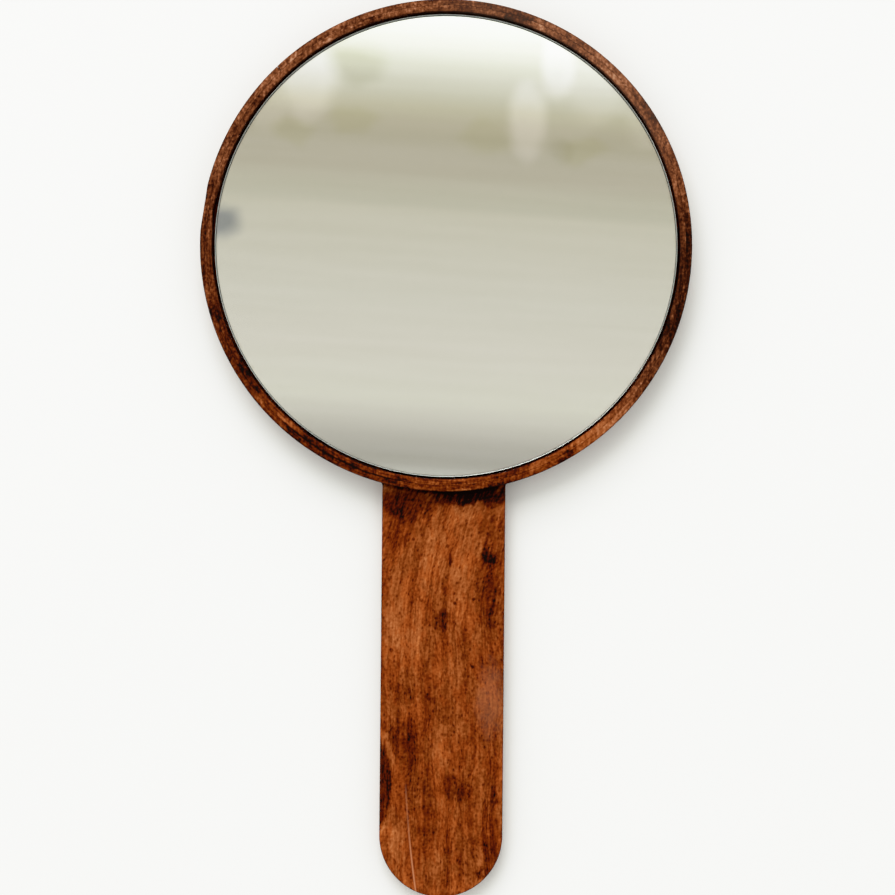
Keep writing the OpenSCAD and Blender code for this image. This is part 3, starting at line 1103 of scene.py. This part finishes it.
smears = recipe.noise(recipe.stretch(place, 0.05, 0.16, 0.05), detail=3.0)
smeared = recipe.ease(smears, 0.55, 0.80, 0.0, SMEAR_DULLNESS)
roughness = recipe.calc("MAXIMUM", smeared, recipe.calc("MULTIPLY", dull, FROST_DULLNESS))
colour = recipe.mix(ground, GLASS_TINT, GROUND_COLOUR)
colour = recipe.mix(cut_edge, colour, CUT_EDGE_AND_GAP_SHADE_COLOUR)
colour = recipe.mix(dust, colour, DUST_COLOUR)
surface = set_surface(clear_glass, recipe, colour, roughness, IOR=1.5)
recipe.feed(surface.inputs["Transmission Weight"], recipe.calc("SUBTRACT", 1.0, dull))

# %% The finish of the silver
SILVER_BRIGHT = (0.955, 0.955, 0.945)
SILVER_TARNISH = (0.80, 0.77, 0.70)
TARNISH_RAGGED, TARNISH_SHARE, TARNISH_DULLNESS = 2.5, 0.6, 0.05

bright_silver, recipe, place = new_finish("bright_silver")
patchy = recipe.noise(recipe.stretch(place, 0.35, 0.35, 0.35), detail=4.0)
edge_at = recipe.calc("MULTIPLY_ADD", patchy, TARNISH_RAGGED, from_middle(recipe, place))
tarnish = recipe.ease(edge_at, SILVER_R / MM + 0.4, SILVER_R / MM + 2.0, 0.0, TARNISH_SHARE)
colour = recipe.mix(tarnish, SILVER_BRIGHT, SILVER_TARNISH)
dullness = recipe.calc("MULTIPLY", tarnish, TARNISH_DULLNESS)
set_surface(bright_silver, recipe, colour, dullness, Metallic=1.0)

# %% [markdown]
# ## What lies behind the glass
# The paint that seals the silver and the strips of foam tape are closed in, and
# only show when the mirror is taken apart. They keep their plain solids and get
# finishes of their own: a brushed grey paint and a foam with small open cells.

# %% Paint and foam
PAINT_COLOURS = [(0.3, (0.028, 0.027, 0.026)), (0.7, (0.055, 0.053, 0.050))]
PAINT_RELIEF = 0.02 * MM
FOAM_COLOURS = [(0.1, (0.52, 0.52, 0.49)), (0.6, (0.78, 0.78, 0.74))]
FOAM_RELIEF = 0.08 * MM

seal_paint, recipe, place = new_finish("grey_sealing_paint")
brushed = recipe.noise(recipe.stretch(place, 0.05, 1.6, 0.5), detail=4.0)
specks = recipe.noise(recipe.stretch(place, 3.0, 3.0, 3.0), detail=2.0)
colour = recipe.ramp(brushed, PAINT_COLOURS)
relief = recipe.calc("MULTIPLY_ADD", specks, 0.4, brushed)
roughness = recipe.ease(specks, 0.3, 0.7, 0.55, 0.75)
set_surface(seal_paint, recipe, colour, roughness, relief, PAINT_RELIEF)

white_foam, recipe, place = new_finish("white_foam")
open_cells = recipe.cells(recipe.stretch(place, 2.6, 2.6, 2.6))
colour = recipe.ramp(open_cells, FOAM_COLOURS)
roughness = recipe.ease(open_cells, 0.1, 0.6, 0.95, 0.8)
set_surface(white_foam, recipe, colour, roughness, open_cells, FOAM_RELIEF)

for node_name, finish in (("backing_paint", seal_paint), ("foam_tape_strips", white_foam)):
    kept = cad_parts[node_name]
    kept.data.materials.clear()
    kept.data.materials.append(finish)
    print(node_name, "is now", finish.name)

# %% [markdown]
# ## Each piece on its body
# Nothing moves on a hand mirror, so every piece rides on the one body of the
# frame. Each new piece is listed with the plain solid it stands for, which is
# then hidden, a finish name that nothing here reads, and its material.

# %% Ride, replace and give each piece its finish
PIECES = [
    (veneers["back_veneer"], "back_veneer", "stained_face", back_wood),
    (veneers["back_crossband"], "back_crossband", "stained_inner_ply", cross_wood),
    (veneers["core_veneer"], "core_veneer", "stained_inner_ply", core_wood),
    (veneers["front_crossband"], "front_crossband", "stained_inner_ply", cross_wood),
    (veneers["face_veneer"], "face_veneer", "stained_face", face_wood),
    (rim_outer, "rim_outer_strip", "stained_rim", outer_strip_wood),
    (rim_inner, "rim_inner_strip", "stained_rim", inner_strip_wood),
    (silver, "silver_coat", "silvering", bright_silver),
    (glass, "mirror_glass", "glass", clear_glass),
]
for piece, node_name, slot_name, finish in PIECES:
    piece.data.materials.clear()
    piece.data.materials.append(finish)
    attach(piece, "root")
    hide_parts(node_name)
print(len(PIECES), "new pieces ride on the frame")
